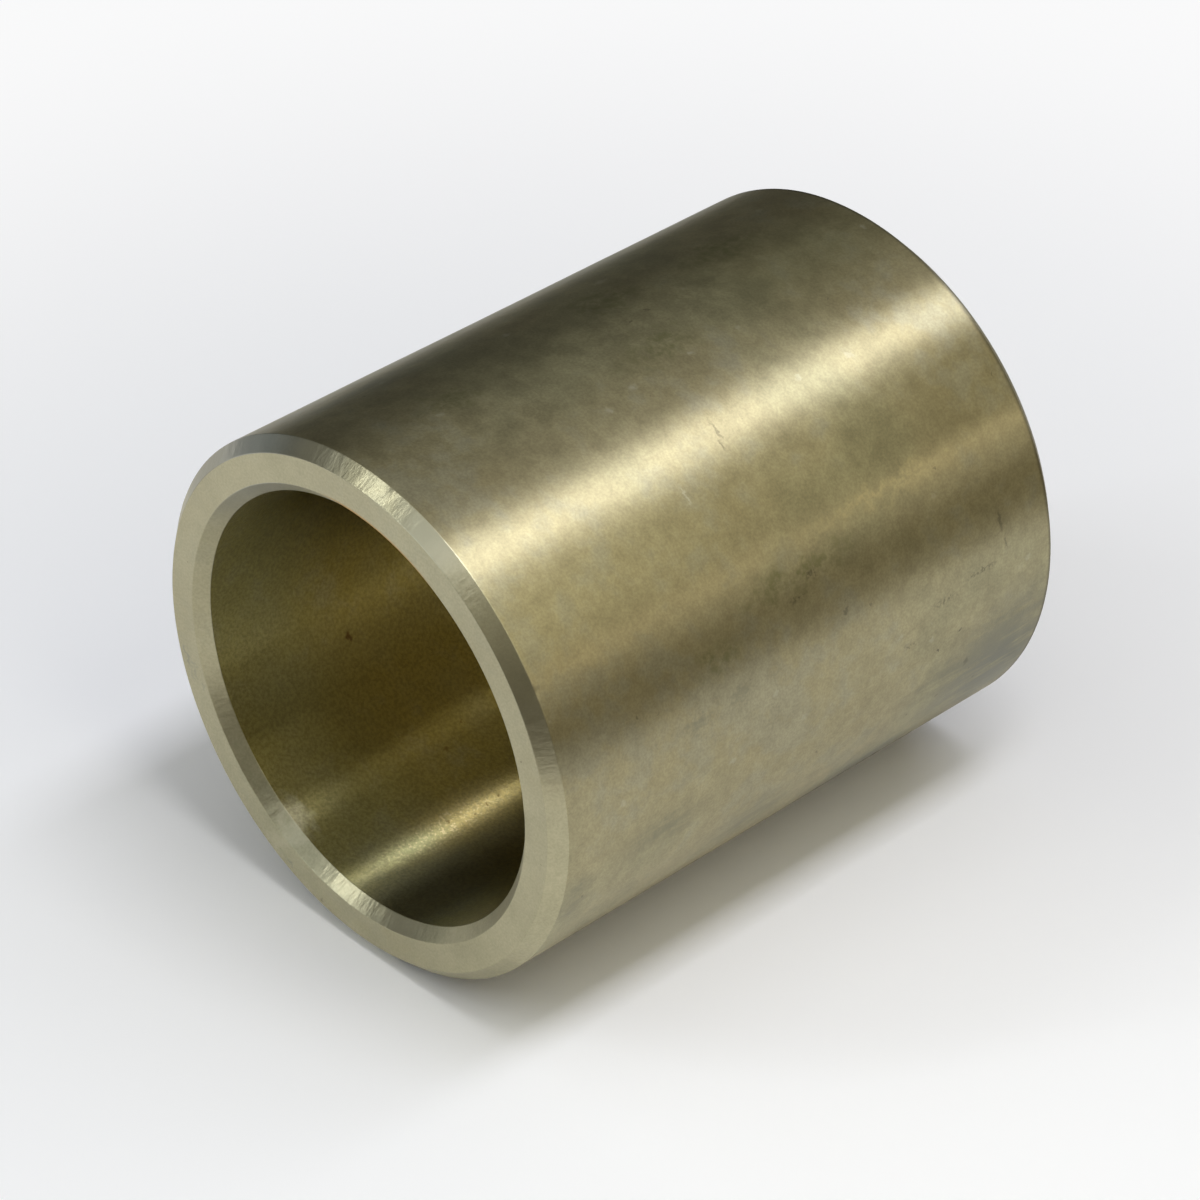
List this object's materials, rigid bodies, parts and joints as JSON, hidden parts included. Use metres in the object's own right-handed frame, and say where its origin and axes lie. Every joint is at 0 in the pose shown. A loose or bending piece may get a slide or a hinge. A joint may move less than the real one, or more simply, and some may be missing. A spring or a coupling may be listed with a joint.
{
  "type": "sleeve bushing",
  "caption": "Plain one-piece bronze sleeve bushing: a straight tube with chamfered ends, pressed into a housing as the bearing for a shaft or pin.",
  "frame": {"origin": "on the bore's axis, midway between the two end faces", "axes": "+Y along the bore's axis; the bushing lies on its side, so +Z is square to the axis and points up, away from the surface it lies on"},
  "size_m": [0.05, 0.06, 0.05],
  "materials": {
    "bronze": "satin turned bearing bronze, lightly tarnished, with faint storage stains"
  },
  "bodies": {
    "root": {"sleeve": "bronze"}
  },
  "joints": []
}
